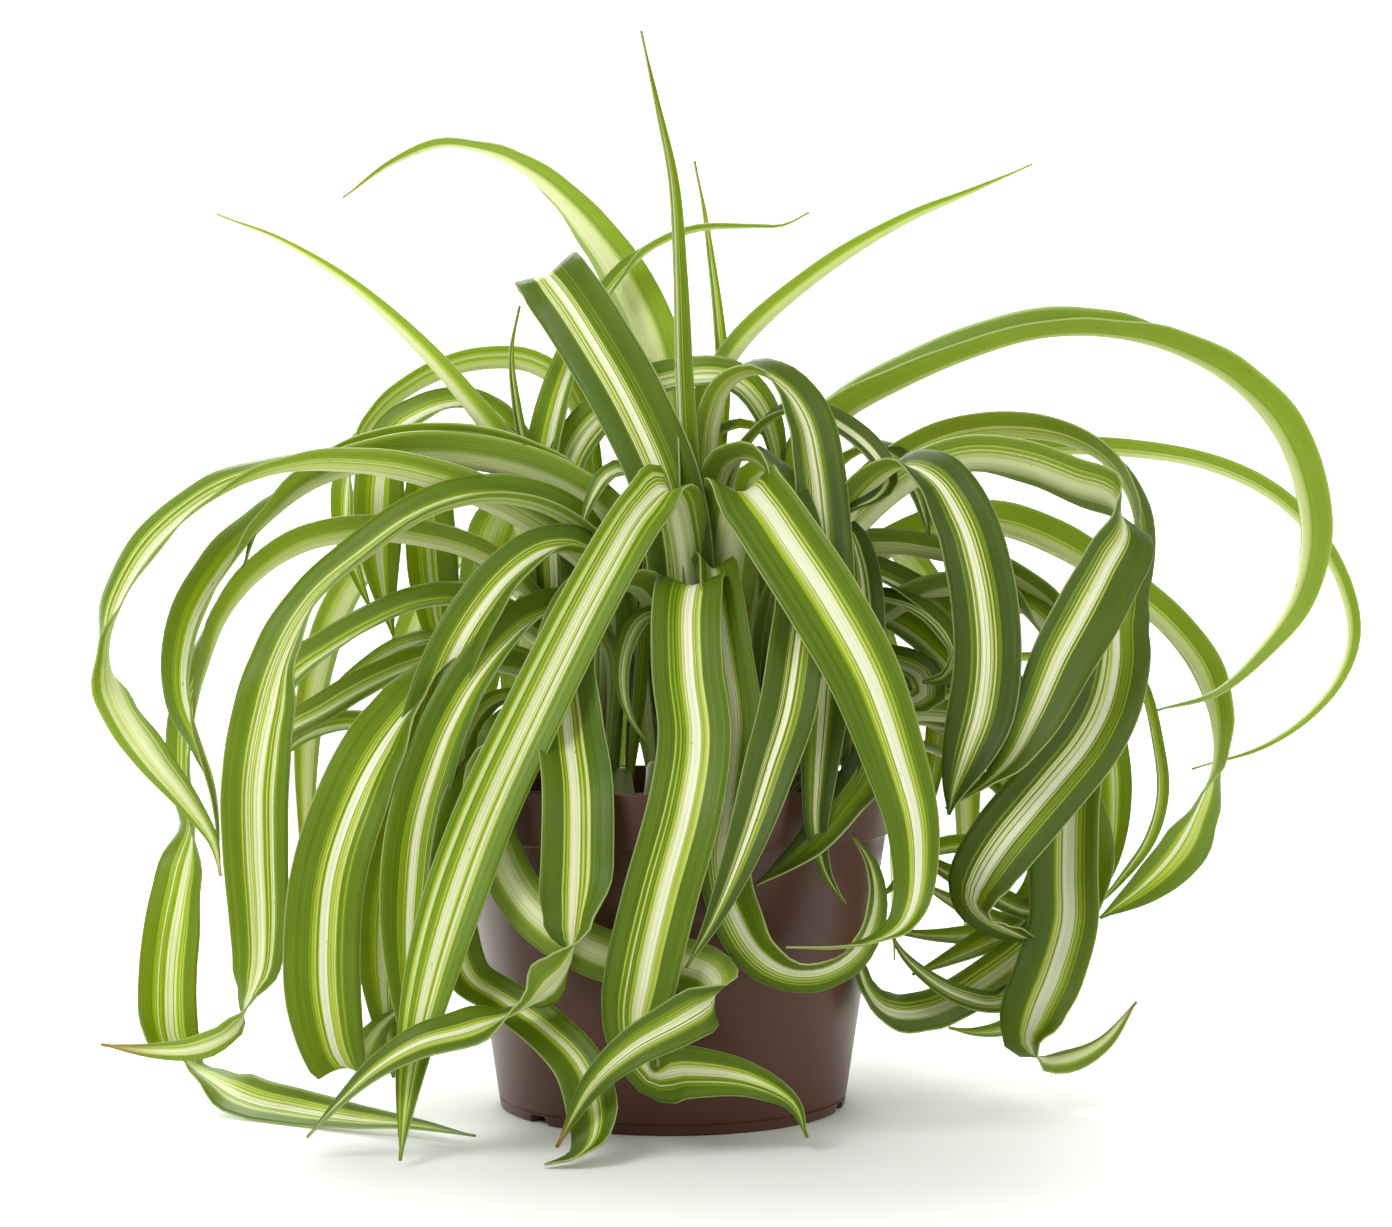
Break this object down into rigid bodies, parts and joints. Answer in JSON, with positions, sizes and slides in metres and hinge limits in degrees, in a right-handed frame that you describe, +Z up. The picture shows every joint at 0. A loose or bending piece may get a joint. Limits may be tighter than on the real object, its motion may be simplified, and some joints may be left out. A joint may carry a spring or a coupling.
{
  "type": "potted spider plant",
  "caption": "Potted spider plant with arching striped strap leaves spilling over a round tapered plastic nursery pot filled with soil.",
  "frame": {"origin": "centre of the pot's base, in the plane of the foot that it stands on", "axes": "+Z up along the pot's axis, -Y towards the plant's front, +X towards its right side as seen from the front"},
  "size_m": [0.3872, 0.2456, 0.3207],
  "materials": {
    "pot_plastic": "brown moulded plastic with a soft gloss",
    "soil": null,
    "leaf": null
  },
  "bodies": {
    "root": {"pot": "pot_plastic", "soil": "soil", "rosette_front": "leaf", "rosette_right": "leaf", "rosette_left": "leaf", "rosette_rear_left": "leaf", "rosette_rear": "leaf", "rosette_rear_right": "leaf"}
  },
  "joints": []
}
